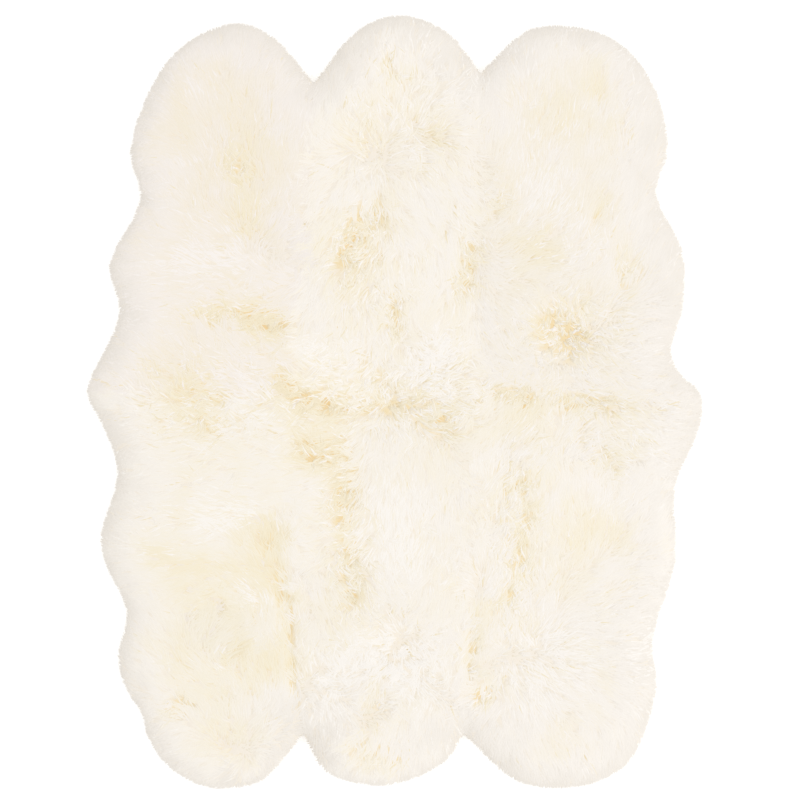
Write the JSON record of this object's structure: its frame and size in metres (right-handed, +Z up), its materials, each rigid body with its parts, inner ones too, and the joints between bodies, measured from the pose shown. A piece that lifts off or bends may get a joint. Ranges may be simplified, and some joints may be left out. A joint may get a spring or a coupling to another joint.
{
  "type": "sheepskin rug",
  "caption": "Large ivory long-wool sheepskin rug with a scalloped outline, sewn from whole pelts and lying flat, wool side up.",
  "frame": {"origin": "under the middle of the rug, on the floor that it lies on", "axes": "+Z up out of the wool, +Y along the rug's length to the upper row of pelts, +X across the rug to the right"},
  "size_m": [1.4768, 1.8524, 0.0595],
  "materials": {
    "wool": "soft matt natural ivory wool, long and wavy",
    "hide": "matt cream suede, the skin side of the tanned pelts",
    "thread": "off-white twisted sewing thread"
  },
  "bodies": {
    "root": {"pelt_upper_left": "wool", "pelt_upper_middle": "wool", "pelt_upper_right": "wool", "pelt_lower_left": "wool", "pelt_lower_middle": "wool", "pelt_lower_right": "wool"}
  },
  "joints": []
}
